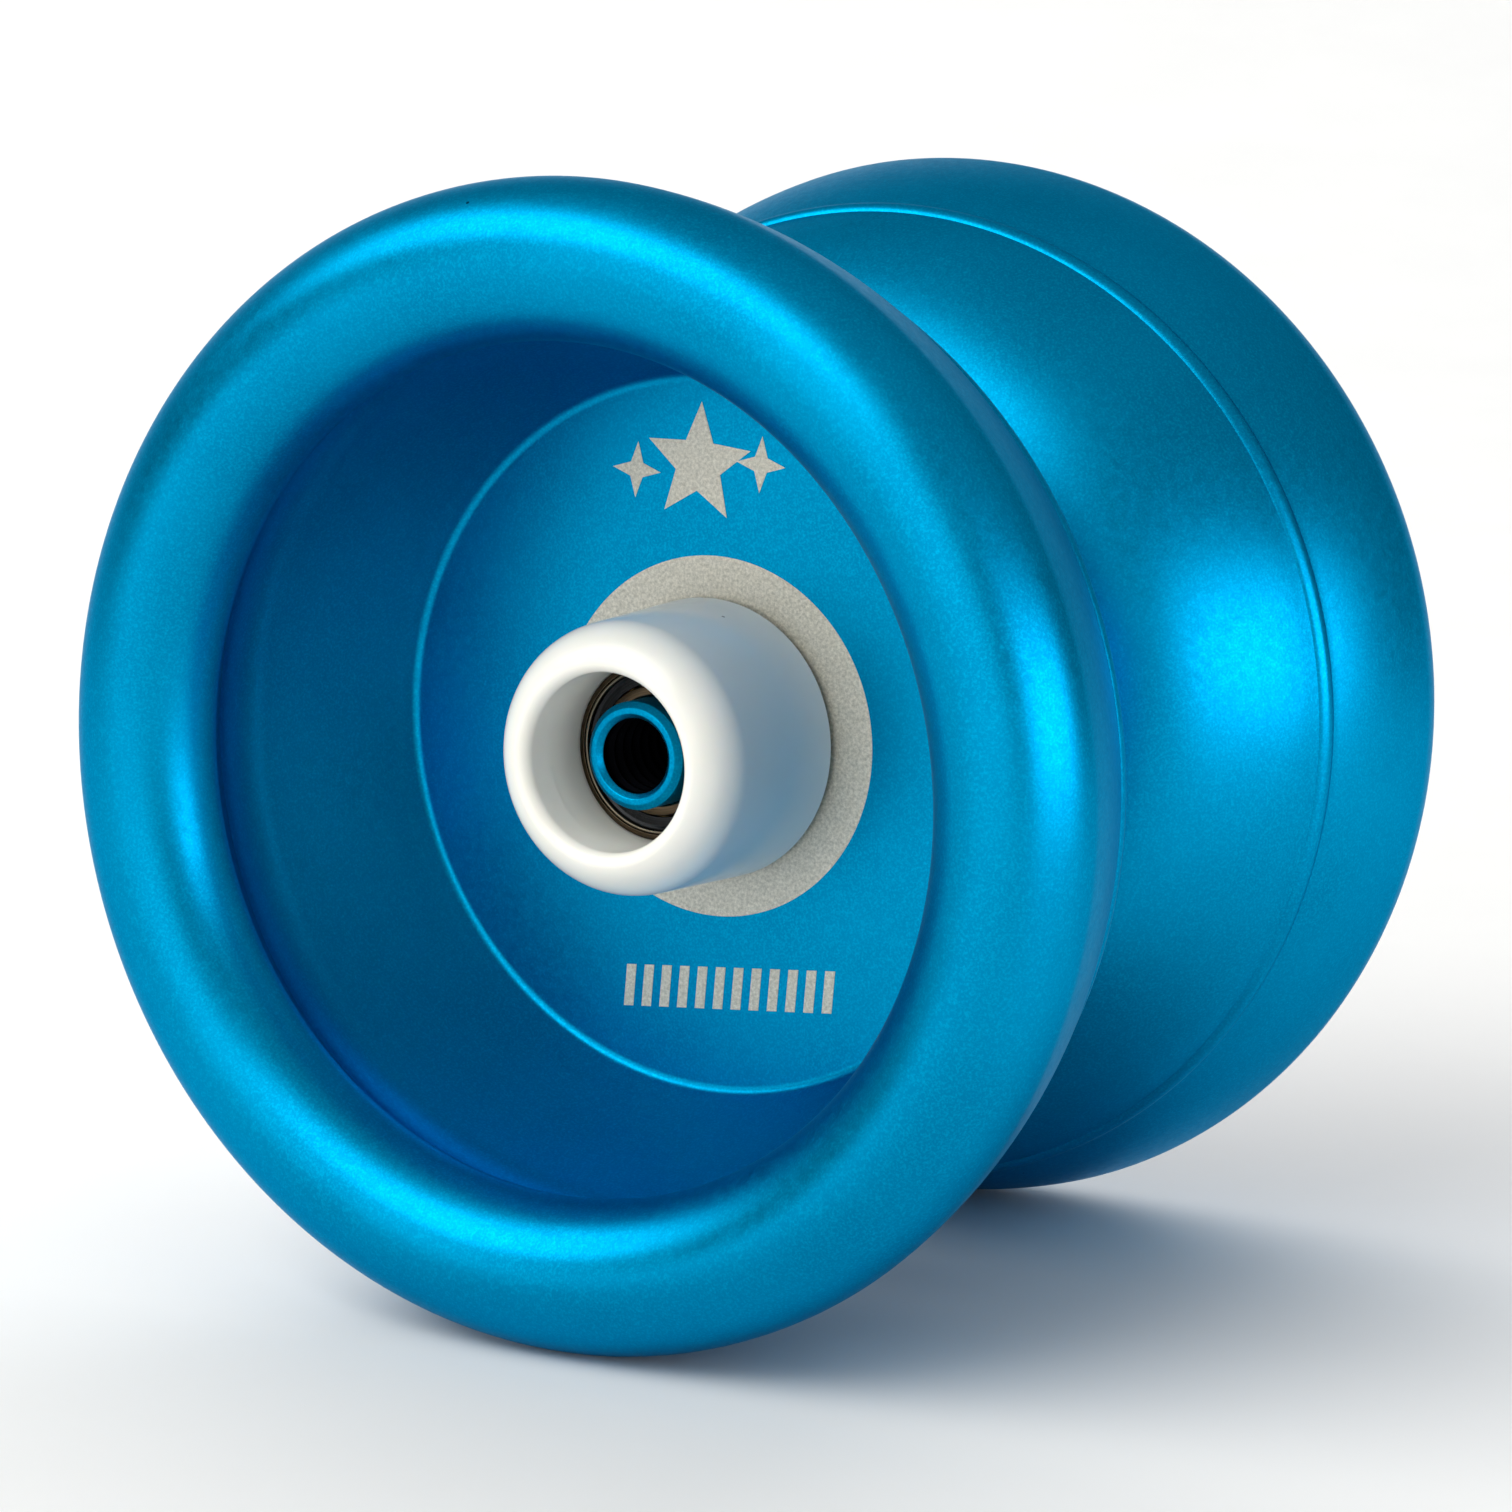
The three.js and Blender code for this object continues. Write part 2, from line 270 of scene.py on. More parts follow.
def supported(outline, reach=0.05, least=0.35):
    """The closed outline with extra points near the ends of each long straight stretch."""
    points = []
    for i, point in enumerate(outline):
        points.append(point)
        here = Vector(point)
        way = Vector(outline[(i + 1) % len(outline)]) - here
        if way.length > least:
            step = way.normalized() * reach
            points.append(tuple(here + step))
            points.append(tuple(here + way - step))
    return points


# ---------------------------------------------------------------- mesh makers

def new_object(name, bm, materials, smooth=True):
    """An object made from the bmesh, with its faces turned outwards."""
    bmesh.ops.recalc_face_normals(bm, faces=bm.faces)
    mesh = bpy.data.meshes.new(name)
    bm.to_mesh(mesh)
    bm.free()
    for material in materials:
        mesh.materials.append(material)
    if smooth:
        mesh.shade_smooth()
        mesh.set_sharp_from_angle(angle=math.radians(SHARP_BEND))
    piece = bpy.data.objects.new(name, mesh)
    bpy.context.scene.collection.objects.link(piece)
    return piece


def polar(r, y, a):
    """The place in metres at r and y in millimetres and at angle a from the top."""
    return r * MM * math.sin(a), y * MM, r * MM * math.cos(a)


def bridge(bm, ring, other, slot=0):
    """A band of faces between two rings with the same number of points."""
    count = len(ring)
    for k in range(count):
        nxt = (k + 1) % count
        face = bm.faces.new((ring[k], ring[nxt], other[nxt], other[k]))
        face.material_index = slot


def turned(name, outline, materials, side=BACK, centre=0.0, segments=SMALL_SEGMENTS, pick=None):
    """A body of revolution about Y. pick(r, depth) gives the material of a stretch of the outline."""
    bm = bmesh.new()
    angles = [math.tau * k / segments for k in range(segments)]
    rings = []
    for r, depth in outline:
        y = side * (centre + depth)
        rings.append([bm.verts.new(polar(r, y, a)) for a in angles])
    for i, ring in enumerate(rings):
        nxt = (i + 1) % len(rings)
        slot = 0
        if pick:
            r0, d0 = outline[i]
            r1, d1 = outline[nxt]
            slot = pick((r0 + r1) / 2, (d0 + d1) / 2)
        bridge(bm, ring, rings[nxt], slot)
    return new_object(name, bm, materials)


def finish_piece(piece, body, slot, *nodes):
    """Puts the piece on its body and hides the CAD nodes that it stands for; slot, its finish, is not
    used.
    """
    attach(piece, body)
    if nodes:
        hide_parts(*nodes)
    return piece


# ---------------------------------------------------------------- materials

# Turning marks in a metre of radius.
TURNING_MARKS = 18000.0


class Nodes:
    """Short calls for building one material's node tree."""

    def __init__(self, name):
        self.material = bpy.data.materials.new(name)
        self.material.use_nodes = True
        self.tree = self.material.node_tree
        self.shader = self.tree.nodes["Principled BSDF"]

    def set(self, **values):
        """Values that are the same all over the surface."""
        for key, value in values.items():
            self.shader.inputs[key.replace("_", " ")].default_value = value

    def link(self, out, to):
        self.tree.links.new(out, to)

    def feed(self, out, key):
        self.link(out, self.shader.inputs[key])

    def node(self, kind, **settings):
        made = self.tree.nodes.new(kind)
        for key, value in settings.items():
            setattr(made, key, value)
        return made

    def place(self):
        """Position in the object's own coordinates, in metres."""
        return self.node("ShaderNodeTexCoord").outputs["Object"]

    def noise(self, scale, detail=2.0, rough=0.5, vector=None):
        made = self.node("ShaderNodeTexNoise")
        made.inputs["Scale"].default_value = scale
        made.inputs["Detail"].default_value = detail
        made.inputs["Roughness"].default_value = rough
        self.link(vector or self.place(), made.inputs["Vector"])
        return made.outputs["Fac"]

    def spread(self, value, low, high, from_low=0.3, from_high=0.7):
        """The value, from the stretch that noise mostly covers to low up to high."""
        made = self.node("ShaderNodeMapRange")
        made.inputs["From Min"].default_value = from_low
        made.inputs["From Max"].default_value = from_high
        made.inputs["To Min"].default_value = low
        made.inputs["To Max"].default_value = high
        self.link(value, made.inputs["Value"])
        return made.outputs["Result"]

    def mix(self, fac, a, b):
        """Colour a where fac is 0 and b where it is 1; each is a colour or an output."""
        made = self.node("ShaderNodeMix", data_type="RGBA")
        self.link(fac, made.inputs["Factor"])
        for socket, colour in ((made.inputs[6], a), (made.inputs[7], b)):
            if hasattr(colour, "is_output"):
                self.link(colour, socket)
            else:
                socket.default_value = (*colour, 1)
        return made.outputs[2]

    def tones(self, noise, dark, light):
        """A colour that wanders between dark and light with the noise."""
        return self.mix(self.spread(noise, 0.0, 1.0), dark, light)

    def math(self, operation, a, b=None):
        made = self.node("ShaderNodeMath", operation=operation)
        for socket, value in zip(made.inputs, (a, b)):
            if value is None:
                continue
            if hasattr(value, "is_output"):
                self.link(value, socket)
            else:
                socket.default_value = value
        return made.outputs[0]

    def specks(self, spacing, size, share):
        """1 on small round specks, at most one in each cell of the given spacing, else 0."""
        cells = self.node("ShaderNodeTexVoronoi")
        cells.inputs["Scale"].default_value = 1 / spacing
        self.link(self.place(), cells.inputs["Vector"])
        near = self.math("LESS_THAN", cells.outputs["Distance"], size / spacing / 2)
        parts = self.node("ShaderNodeSeparateXYZ")
        self.link(cells.outputs["Color"], parts.inputs[0])
        return self.math("MULTIPLY", near, self.math("LESS_THAN", parts.outputs[0], share))

    def bump(self, height, distance, strength=1.0):
        made = self.node("ShaderNodeBump")
        made.inputs["Strength"].default_value = strength
        made.inputs["Distance"].default_value = distance
        self.link(height, made.inputs["Height"])
        self.feed(made.outputs["Normal"], "Normal")

    def radius(self):
        """Distance from the spin axis, in metres."""
        parts = self.node("ShaderNodeSeparateXYZ")
        self.link(self.place(), parts.inputs[0])
        x = self.math("POWER", parts.outputs[0], 2.0)
        z = self.math("POWER", parts.outputs[2], 2.0)
        return self.math("SQRT", self.math("ADD", x, z))


def anodised_blue():
    """Bead-blasted aluminium, dyed blue: fine even grain and slight changes of depth in the dye."""
    n = Nodes("anodised_blue")
    n.set(Metallic=1.0, Specular_Tint=(0.45, 0.66, 0.8, 1.0))
    grain = n.noise(scale=9000.0, detail=2.0, rough=0.6)
    glints = n.spread(grain, 0.0, 1.0, from_low=0.45, from_high=0.8)
    specks = n.specks(spacing=0.0035, size=0.00016, share=0.16)
    colour = n.tones(n.noise(scale=140.0, detail=3.0), (0.0, 0.212, 0.432), (0.0, 0.246, 0.49))
    colour = n.mix(glints, colour, (0.0, 0.35, 0.61))
    colour = n.mix(specks, colour, (0.0, 0.03, 0.09))
    n.feed(colour, "Base Color")
    n.feed(n.spread(n.noise(scale=2500.0, detail=3.0), 0.34, 0.42), "Roughness")
    n.bump(grain, distance=0.000008, strength=0.4)
    return n.material


def etched_aluminium():
    """Bare aluminium where the dye is burnt away: pale, warm and finely grained."""
    n = Nodes("etched_aluminium")
    n.set(Metallic=0.75, Roughness=0.55)
    grain = n.noise(scale=6500.0, detail=3.0, rough=0.7)
    n.feed(n.tones(grain, (0.48, 0.46, 0.39), (0.82, 0.78, 0.68)), "Base Color")
    n.bump(grain, distance=0.00002, strength=0.4)
    return n.material


def white_acetal():
    """Smooth turned white plastic: soft gloss, slight mottling and a few dark specks."""
    n = Nodes("white_acetal")
    n.set(Roughness=0.2, IOR=1.48, Subsurface_Weight=0.08, Subsurface_Scale=0.0008)
    specks = n.specks(spacing=0.0021, size=0.00016, share=0.14)
    colour = n.tones(n.noise(scale=300.0, detail=2.0), (0.95, 0.93, 0.85), (0.97, 0.955, 0.89))
    n.feed(n.mix(specks, colour, (0.34, 0.32, 0.28)), "Base Color")
    n.feed(n.spread(n.noise(scale=900.0, detail=3.0), 0.17, 0.24), "Roughness")
    n.bump(n.noise(scale=3000.0, detail=2.0), distance=0.000001, strength=0.3)
    return n.material


def turned_steel(name, dark, light, rough_low, rough_high):
    """Metal with fine turning marks round the spin axis."""
    n = Nodes(name)
    n.set(Metallic=1.0)
    along = n.node("ShaderNodeCombineXYZ")
    n.link(n.radius(), along.inputs[0])
    lines = n.noise(scale=TURNING_MARKS, detail=2.0, rough=0.7, vector=along.outputs[0])
    smears = n.noise(scale=900.0, detail=3.0)
    n.feed(n.tones(lines, dark, light), "Base Color")
    n.feed(n.spread(smears, rough_low, rough_high), "Roughness")
    n.bump(lines, distance=0.000003, strength=0.4)
    return n.material


def cast_silicone():
    """Cast silicone rubber: milky, matt, with a faint pitted skin."""
    n = Nodes("cast_silicone")
    n.set(Roughness=0.6, IOR=1.41, Subsurface_Weight=0.3, Subsurface_Scale=0.001)
    clouds = n.noise(scale=700.0, detail=4.0)
    n.feed(n.tones(clouds, (0.62, 0.64, 0.64), (0.76, 0.77, 0.76)), "Base Color")
    n.feed(n.spread(n.noise(scale=2200.0, detail=3.0), 0.5, 0.72), "Roughness")
    n.bump(n.noise(scale=3500.0, detail=4.0), distance=0.00002, strength=0.4)
    return n.material


def pale_floor():
    """Matt paper, very nearly even."""
    n = Nodes("pale_floor")
    n.set(Roughness=0.85)
    clouds = n.noise(scale=40.0, detail=4.0)
    n.feed(n.tones(clouds, (0.86, 0.86, 0.86), (0.88, 0.88, 0.88)), "Base Color")
    return n.material


BLUE = anodised_blue()
ETCHED = etched_aluminium()
ACETAL = white_acetal()
SILICONE = cast_silicone()
RACE = turned_steel("race_steel", (0.52, 0.51, 0.49), (0.68, 0.67, 0.65), 0.12, 0.2)
# Races of the spinners' bearings: race steel darkened nearly to black as painted shade of the deep
# mouths. Its brown tone is partly grease and partly a painted warm reflection.
SHADED_RACE = turned_steel("race_steel_painted_shade", (0.035, 0.026, 0.017), (0.11, 0.08, 0.05), 0.12, 0.2)
BALL = turned_steel("ball_steel", (0.70, 0.70, 0.72), (0.78, 0.78, 0.80), 0.05, 0.1)
CAGE = turned_steel("cage_brass", (0.48, 0.33, 0.14), (0.66, 0.47, 0.22), 0.28, 0.45)
# Shields nearly black: painted shade for the dark deep inside the spinners' mouths. The main bearing's
# hidden shields use it too.
SHADED_SHIELD = turned_steel("shield_steel", (0.012, 0.013, 0.014), (0.03, 0.031, 0.034), 0.2, 0.3)
WIRE = turned_steel("clip_wire", (0.14, 0.12, 0.09), (0.26, 0.22, 0.16), 0.25, 0.4)
# Near black: black oxide on the axle, and painted shade on the bore of each half.
BLACK_OXIDE_AND_BORE_SHADE = turned_steel("blackened_steel_and_bore_shade", (0.001, 0.0012, 0.002), (0.003, 0.0034, 0.005), 0.5, 0.6)


# ---------------------------------------------------------------- halves

# Material slots of a half.
DYED, BARE, BLACK = range(3)


def seat_corners():
    """The side of a half that faces the string, from the bore out to the catch zone."""
    return [
        (THREAD_R + THREAD_PLAY, SEAT_END),
        (SEAT_R, SEAT_END, 0.15),
        (SEAT_R, SHOULDER_DEPTH, 0.04),
        (SHOULDER_R, SHOULDER_DEPTH, 0.08),
        (SHOULDER_R, POCKET_DEPTH, 0.06),
        (POCKET_R, POCKET_DEPTH, 0.1),
        (POCKET_R, HALF_GAP, 0.08),
        (GROOVE_IN_R, HALF_GAP, 0.06),
        (GROOVE_IN_R, GROOVE_DEPTH, 0.08),
        (GROOVE_OUT_R, GROOVE_DEPTH, 0.08),
        (GROOVE_OUT_R, HALF_GAP, 0.06),
        (CATCH_FLAT_R - 1, HALF_GAP),
    ]


def lip_inside():
    """Arcs that run on smoothly into each other from the top of the lip to its inner edge."""
    points = [(LIP_R, RIM_DEPTH)]
    start = 90
    for radius, end in LIP_ARCS:
        a = math.radians(start)
        centre = (points[-1][0] - radius * math.cos(a), points[-1][1] - radius * math.sin(a))
        points += arc(centre, radius, radius, start, end, 14)[1:]
        start = end
    return points


def rim_outline():
    """Catch zone, fine bead along the ridge, flank, and the rounded lip."""
    ridge = (RIDGE_R, RIDGE_DEPTH)
    crease = (RIM_R, CREASE_DEPTH)
    catch = flat_to_arc((CATCH_FLAT_R, HALF_GAP), ridge, 48)
    bead = arc((RIDGE_R - BEAD_IN, RIDGE_DEPTH - BEAD_BEFORE), BEAD_R, BEAD_R, *BEAD_ARC, 18)
    flank = bow(ridge, crease, -FLANK_BULGE, 24)
    catch = [point for point in catch if point[1] < bead[0][1]]
    flank = [point for point in flank if point[1] > bead[-1][1]]
    outer = arc((LIP_R, CREASE_DEPTH), RIM_R - LIP_R, RIM_DEPTH - CREASE_DEPTH, 0, 90, 30)
    return catch + bead + flank + outer[1:-1] + lip_inside()


def cup_outline():
    """Out under the lip, along a shallow hollow, then down the dished wall to the floor."""
    under = (UNDERCUT_R, UNDERCUT_DEPTH)
    edge = (CUP_EDGE_R, CUP_EDGE_DEPTH)
    floor = (CUP_FLOOR_R, CUP_FLOOR_DEPTH)
    foot = (CUP_FLOOR_R + 0.15, CUP_FLOOR_DEPTH + 0.2)
    hollow = bow(under, edge, UNDERCUT_BULGE, 12)
    wall = bow(edge, foot, CUP_BULGE, 30)
    crest = fillet(under, lip_inside()[-1], hollow[2], CREST_FILLET)
    base = fillet(floor, wall[-3], (ETCHED_DISC_R, CUP_FLOOR_DEPTH), CUP_FILLET, 8)
    return crest + hollow[2:] + wall[1:-3] + base


def post_corners():
    """From the etched disc's edge over the step and the post, and down the threads of its hole."""
    corners = [
        (ETCHED_DISC_R, CUP_FLOOR_DEPTH),
        (STEP_R, CUP_FLOOR_DEPTH, 0.12),
        (STEP_R, STEP_DEPTH, 0.08),
        (POST_R, STEP_DEPTH, 0.08),
        (POST_R, POST_END - 0.28, 0.1),
        (POST_R - 0.26, POST_END, 0.1),
        (POST_HOLE_R + 0.22, POST_END, 0.1),
        (POST_HOLE_R, POST_END - 0.25, 0.08),
    ]
    depth = THREAD_TOP
    while depth > SEAT_END + THREAD_PITCH:
        corners += [
            (POST_HOLE_R, depth, 0.05),
            (THREAD_R + 0.03, depth - THREAD_PITCH * 0.4, 0.05),
            (POST_HOLE_R, depth - THREAD_PITCH * 0.8, 0.05),
        ]
        depth -= THREAD_PITCH
    return corners


def half_material(r, depth):
    """Bare metal on the disc round the post, near black in the bore as painted shade of the deep hole,
    and dyed elsewhere.
    """
    on_floor = abs(depth - CUP_FLOOR_DEPTH) < 0.01
    if on_floor and STEP_R < r < ETCHED_DISC_R:
        return BARE
    in_bore = r < POST_HOLE_R + BORE_WALL and depth < POST_END - BORE_MOUTH
    return BLACK if in_bore else DYED


def make_half(side, where):
    """One turning: string side, rim, cup and hub post."""
    name = "half_" + where
    outline = rounded(seat_corners()) + rim_outline() + cup_outline() + rounded(post_corners())
    materials = [BLUE, ETCHED, BLACK_OXIDE_AND_BORE_SHADE]
    half = turned(name + "_turning", supported(outline), materials, side,
                  segments=HALF_SEGMENTS, pick=half_material)
    return finish_piece(half, "halves", "anodised_aluminium", name)


def make_pad(side, where):
    """Silicone ring in the response groove, with play at both walls."""
    low = span("response_pad_back")[0][1]
    high = span("response_pad_back")[1][1]
    inner = GROOVE_IN_R + PAD_PLAY
    outer = GROOVE_OUT_R - PAD_PLAY
    corners = [
        (inner, low, 0.15),
        (outer, low, 0.15),
        (outer, high, 0.1),
        (inner, high, 0.1),
    ]
    pad = turned("pad_" + where, supported(rounded(corners, True)), [SILICONE], side)
    finish_piece(pad, "halves", "silicone", "response_pad_" + where)


# ---------------------------------------------------------------- etched marks

def etched_plate(name, shapes, side, at):
    """Flat shapes on a cup's floor, each a list of (x, z) points as seen from outside that cup."""
    under = CUP_FLOOR_DEPTH + MARK_LIFT
    bm = bmesh.new()
    for shape in shapes:
        lower, upper = [
            [bm.verts.new((-side * (at[0] + x) * MM, side * y * MM, (at[1] + z) * MM)) for x, z in shape]
            for y in (under, under + MARK_THICKNESS)
        ]
        bm.faces.new(lower)
        bm.faces.new(upper)
        bridge(bm, lower, upper)
    piece = new_object(name, bm, [ETCHED], smooth=False)
    finish_piece(piece, "halves", "anodised_aluminium")


def star(points, outer, inner, x=0.0, z=0.0):
    """A star round (x, z), leaning a little to the right."""
    shape = []
    for i in range(2 * points):
        r = inner if i % 2 else outer
        a = math.pi * i / points + math.radians(MARK_LEAN)
        shape.append((x + r * math.sin(a), z + r * math.cos(a)))
    return shape


def slanted_bars(count, pitch, width, height, slant):
    """A row of slanted bars that climbs a little to the right."""
    tilt = math.radians(MARK_LEAN)
    shapes = []
    for i in range(count):
        x = (i - (count - 1) / 2) * pitch
        corners = [
            (x - width / 2 - slant, -height / 2),
            (x + width / 2 - slant, -height / 2),
            (x + width / 2 + slant, height / 2),
            (x - width / 2 + slant, height / 2),
        ]
        shapes.append([
            (u * math.cos(tilt) - v * math.sin(tilt), u * math.sin(tilt) + v * math.cos(tilt))
            for u, v in corners
        ])
    return shapes


def make_marks(side, where):
    """A star between two sparkles above the hub, and a row of bars below it."""
    stars = [
        star(5, 2.75, 1.2),
        star(4, 1.25, 0.45, x=-3.2, z=-0.4),
        star(4, 1.25, 0.45, x=3.2, z=0.1),
    ]
    bars = slanted_bars(count=12, pitch=0.94, width=0.5, height=1.9, slant=0.16)
    etched_plate("etched_stars_" + where, stars, side, STARS_AT)
    etched_plate("etched_bars_" + where, bars, side, BARS_AT)


# ---------------------------------------------------------------- bearings

def track(b, towards, land):
    """The groove that the balls run in, cut into a race's land."""
    track_r = b["ball"] + TRACK_PLAY
    reach = math.degrees(math.acos(abs(b["pitch"] - land) / track_r))
    groove = arc((0, 0), track_r, track_r, -reach, reach, 12)
    return [(b["pitch"] + towards * out, along) for out, along in groove]


def inner_race_outline(b):
    """Section of the inner race, counted along the axis from the bearing's middle."""
    half = b["width"] / 2
    first = rounded([
        (b["bore"], 0),
        (b["bore"], -half, 0.09),
        (b["inner_land"], -half, 0.07),
        (b["inner_land"], -1),
    ])
    last = rounded([
        (b["inner_land"], 1),
        (b["inner_land"], half, 0.07),
        (b["bore"], half, 0.09),
        (b["bore"], 0),
    ])
    return first[1:-1] + track(b, -1, b["inner_land"]) + last[1:-1]


def outer_race_outline(b):
    """Section of the outer race, with a seat for the shield and its clip at each end."""
    half = b["width"] / 2
    ledge = b["width"] * SHIELD_LEDGE
    corners = [
        (b["out"], 0),
        (b["out"], -half, 0.14),
        (b["seat"], -half, 0.03),
        (b["seat"], -ledge),
        (b["outer_land"], -ledge, 0.03),
        (b["outer_land"], -0.9 * ledge),
    ]
    first = rounded(corners)
    last = [(r, -along) for r, along in reversed(first)]
    return first[1:-1] + track(b, 1, b["outer_land"]) + last[1:-1]


def make_ball(b, node, index, body, centre):
    """Ball number index of the ring, counted from the top."""
    a = math.tau * index / b["balls"]
    at = Vector((b["pitch"] * math.sin(a), centre, b["pitch"] * math.cos(a))) * MM
    bm = bmesh.new()
    bmesh.ops.create_icosphere(bm, subdivisions=3, radius=b["ball"] * MM, matrix=Matrix.Translation(at))
    ball = new_object(node + "_polished", bm, [BALL])
    finish_piece(ball, body, "ball_steel", node)


def make_shield(b, node, side, body, centre):
    """Pressed washer with a shallow dish and a rolled inner edge."""
    low = b["width"] * SHIELD_LEDGE + SHIELD_PLAY
    high = low + b["shield"]
    inner = b["shield_in"]
    outer = b["seat"] - SHIELD_PLAY
    dish = b["shield"] * 0.45
    dish_end = inner + (outer - inner) * 0.55
    flat_start = inner + (outer - inner) * 0.7
    corners = [
        (inner, low - dish, 0.02),
        (dish_end, low - dish, 0.08),
        (flat_start, low, 0.08),
        (outer, low, 0.02),
        (outer, high, 0.05),
        (flat_start, high, 0.08),
        (dish_end, high - dish, 0.08),
        (inner, high - dish, 0.05),
    ]
    outline = [(r, side * d) for r, d in supported(rounded(corners, True))]
    shield = turned(node + "_pressed", outline, [SHADED_SHIELD], BACK, centre)
    finish_piece(shield, body, "shield_steel", node)


def make_clip(b, node, side, body, centre):
    """Ring of round wire in the race's seat, open at the top."""
    wire_r = b["clip"]
    ring_r = b["seat"] - wire_r - 0.01
    y = centre + side * (b["width"] * SHIELD_LEDGE + b["shield"] + 0.03 + wire_r)
    steps = 90
    half_opening = 14
    section = [math.tau * k / 12 for k in range(12)]
    bm = bmesh.new()
    rings = []
    for i in range(steps + 1):
        a = math.radians(half_opening + (360 - 2 * half_opening) * i / steps)
        rings.append([
            bm.verts.new(polar(ring_r + wire_r * math.cos(t), y + wire_r * math.sin(t), a))
            for t in section
        ])
    for ring, other in zip(rings, rings[1:]):
        bridge(bm, ring, other)
    bm.faces.new(rings[0])
    bm.faces.new(rings[-1])
    clip = new_object(node + "_wire", bm, [WIRE])
    finish_piece(clip, body, "clip_wire", node)


def make_cage(b, node, body, centre):
    """Brass band round the balls with a round pocket for each ball."""
    inner = b["pitch"] - b["cage_wall"] / 2
    outer = b["pitch"] + b["cage_wall"] / 2
    half_width = b["cage_width"] / 2
    outline = rounded([
        (inner, -half_width, 0.06),
        (outer, -half_width, 0.06),
        (outer, half_width, 0.06),
        (inner, half_width, 0.06),
    ], True)
    band = turned(node + "_band", outline, [CAGE], BACK, centre)
    r = b["ball"] * POCKET_SIZE * MM
    cutter_length = 2 * MM
    bm = bmesh.new()
    for i in range(b["balls"]):
        turn = Matrix.Rotation(math.tau * i / b["balls"], 4, "Y")
        at = turn @ Matrix.Translation((0, centre * MM, b["pitch"] * MM))
        bmesh.ops.create_cone(bm, cap_ends=True, segments=40, radius1=r, radius2=r,
                              depth=cutter_length, matrix=at)
    cutter = new_object(node + "_cutter", bm, [CAGE])
    cut = band.modifiers.new("pockets", "BOOLEAN")
    cut.object = cutter
    cut.operation = "DIFFERENCE"
    bpy.context.view_layer.update()
    shown = band.evaluated_get(bpy.context.evaluated_depsgraph_get())
    mesh = bpy.data.meshes.new_from_object(shown)
    band.modifiers.clear()
    band.data = mesh
    bpy.data.objects.remove(cutter)
    finish_piece(band, body, "cage", node)


def make_bearing(b, prefix, centre, steel, inner_body, outer_body, cage_body):
    """Both races, shields, clips, cage and balls, with the bearing's middle at centre along Y."""
    inner = turned(prefix + "_inner_ground", supported(inner_race_outline(b)), [steel], BACK, centre)
    finish_piece(inner, inner_body, "race_steel", prefix + "_inner_race")
    outer = turned(prefix + "_outer_ground", supported(outer_race_outline(b)), [steel], BACK, centre)
    finish_piece(outer, outer_body, "race_steel", prefix + "_outer_race")
    for side, where in SIDES:
        make_shield(b, prefix + "_shield_" + where, side, outer_body, centre)
        make_clip(b, prefix + "_clip_" + where, side, outer_body, centre)
    make_cage(b, prefix + "_cage", cage_body, centre)
    for i in range(b["balls"]):
        make_ball(b, f"{prefix}_ball_{i + 1}", i, cage_body, centre)


# ---------------------------------------------------------------- axle and stacks

def axle_radius(y, turn):
    """Radius of the threaded and chamfered surface at y, after turn of a full turn."""
    from_end = AXLE_LENGTH / 2 - abs(y)
    limit = THREAD_R - max(0.0, AXLE_CHAMFER - from_end)
    phase = (y / THREAD_PITCH - turn) % 1.0
    groove = AXLE_GROOVE * (1 - min(1.0, abs(phase - 0.5) * 2.6))
    return min(limit, THREAD_R - 0.02 - groove)


def socket_radius(turn):
    """Distance from the axis to the hexagon socket's wall, after turn of a full turn."""
    within = (math.tau * turn) % math.radians(60) - math.radians(30)
    return SOCKET_R / math.cos(within)


def make_axle():
    """Threaded screw along Y with a chamfer at each end and a hexagon socket at the front."""
    front = -AXLE_LENGTH / 2
    around = 48
    rows_per_turn = 12
    rows = int(AXLE_LENGTH / THREAD_PITCH * rows_per_turn)
    turns = [k / around for k in range(around)]
    bm = bmesh.new()
    rings = []
    for i in range(rows + 1):
        y = front + AXLE_LENGTH * i / rows
        rings.append([bm.verts.new(polar(axle_radius(y, turn), y, math.tau * turn)) for turn in turns])
    for ring, other in zip(rings, rings[1:]):
        bridge(bm, ring, other)
    bm.faces.new(rings[-1])
    rim = rings[0]
    for y in (front, front + SOCKET_DEPTH):
        loop = [bm.verts.new(polar(socket_radius(turn), y, math.tau * turn)) for turn in turns]
        bridge(bm, rim, loop)
        rim = loop
    bm.faces.new(rim)
    axle = new_object("axle_threaded", bm, [BLACK_OXIDE_AND_BORE_SHADE])
    finish_piece(axle, "halves", "axle_steel", "axle_screw")


